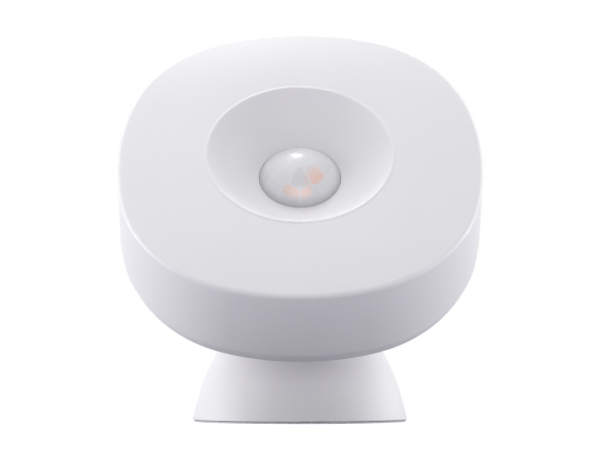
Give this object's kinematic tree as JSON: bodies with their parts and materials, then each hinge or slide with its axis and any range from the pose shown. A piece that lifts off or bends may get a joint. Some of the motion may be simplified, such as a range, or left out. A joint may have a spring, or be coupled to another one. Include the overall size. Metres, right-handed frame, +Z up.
{
  "type": "motion sensor",
  "caption": "Battery motion sensor: rounded-square head with a dished face and small domed lens, held on a magnetic ball over a bell-shaped stand.",
  "frame": {"origin": "on the surface the sensor stands on, at the centre of the foot", "axes": "+Z up; the head faces -Y, leaned back 54 degrees from straight up; +X is across, to the right as seen from the front"},
  "size_m": [0.0558, 0.0571, 0.062],
  "materials": {
    "shell_white": "fine moulded matte texture, warm white",
    "lens_milky": "milky polyethylene, satin, moulded facets",
    "inner_black": "matte black moulding",
    "tray_grey": "matte moulding",
    "detector_metal": "pale gold nickel plate",
    "window_dark": "dark polished silicon filter",
    "element_ceramic": "ceramic with an evaporated coating",
    "board_green": "solder mask over copper tracks",
    "chip_black": "moulded epoxy",
    "ceramic_white": "fired ceramic",
    "part_tan": "ceramic capacitor body with tinned ends",
    "clear_plastic": "clear moulded light pipe",
    "tin_steel": "tin-plated sheet",
    "spring_nickel": "nickel-plated spring sheet",
    "screw_zinc": "zinc-plated steel",
    "cell_steel": "nickel-plated can, fine radial brushing",
    "cup_steel": "pressed and nickel-plated steel",
    "ball_chrome": "polished nickel plate",
    "magnet_nickel": "nickel-plated neodymium magnet",
    "stem_steel": "turned steel",
    "ballast_iron": "phosphated steel ring",
    "plate_white": "moulded matte texture",
    "pad_grey": "soft grey foam-backed pad",
    "button_grey": "fine moulded matte texture"
  },
  "bodies": {
    "base": {"foot_pad": "pad_grey", "base_plate": "plate_white"},
    "stand": {"stand_shell": "shell_white", "ballast_ring": "ballast_iron", "ballast_screws": "screw_zinc"},
    "ball": {"mount_ball": "ball_chrome", "ball_magnet": "magnet_nickel", "ball_stem": "stem_steel", "ball_screw": "screw_zinc"},
    "cup": {"seat_cup": "cup_steel"},
    "rear": {"rear_cover": "shell_white"},
    "button": {"pairing_button": "button_grey"},
    "front": {"front_housing": "shell_white", "fresnel_lens": "lens_milky", "lens_retainer": "inner_black", "pir_can": "detector_metal", "pir_window": "window_dark", "pir_header": "detector_metal", "pir_substrate": "ceramic_white", "pir_elements": "element_ceramic", "pir_leads": "spring_nickel", "light_guide": "clear_plastic", "status_led": "ceramic_white", "main_circuit_board": "board_green", "board_screws": "screw_zinc", "radio_board": "board_green", "radio_shield": "tin_steel", "chip_antenna": "ceramic_white", "signal_chip": "chip_black", "board_passives": "part_tan", "tact_switch": "tin_steel", "battery_tray": "tray_grey", "coin_cell": "cell_steel", "negative_contact": "spring_nickel", "positive_contact": "spring_nickel", "tray_screws": "screw_zinc"},
    "plunger": {"switch_plunger": "inner_black"}
  },
  "joints": [
    {"name": "stand_twist", "type": "hinge", "parent": "base", "child": "stand", "pos_m": [0, 0, 0], "axis": [0, 0, 1], "range_deg": [-25, 0]},
    {"name": "pan", "type": "hinge", "parent": "stand", "child": "ball", "pos_m": [0, 0, 0.0228], "axis": [0, 0, 1], "continuous": true},
    {"name": "tilt", "type": "hinge", "parent": "ball", "child": "cup", "pos_m": [0, 0, 0.0228], "axis": [1, 0, 0], "range_deg": [-115, 7]},
    {"name": "roll", "type": "hinge", "parent": "cup", "child": "rear", "pos_m": [0, 0, 0.0228], "axis": [0, -0.809, 0.5878], "continuous": true},
    {"name": "cover_release", "type": "slide", "parent": "rear", "child": "front", "axis": [0, -0.809, 0.5878], "range_m": [0, 0.02]},
    {"name": "button_press", "type": "slide", "parent": "rear", "child": "button", "axis": [0, -0.809, 0.5878], "range_m": [0, 0.0003], "stiffness_N_per_m": 1500, "springref_m": -0.0004},
    {"name": "plunger_press", "type": "slide", "parent": "front", "child": "plunger", "axis": [0, -0.809, 0.5878], "range_m": [0, 0.0003]}
  ],
  "couplings": [
    {"joint": "plunger_press", "follows": "button_press", "ratio": 1}
  ]
}
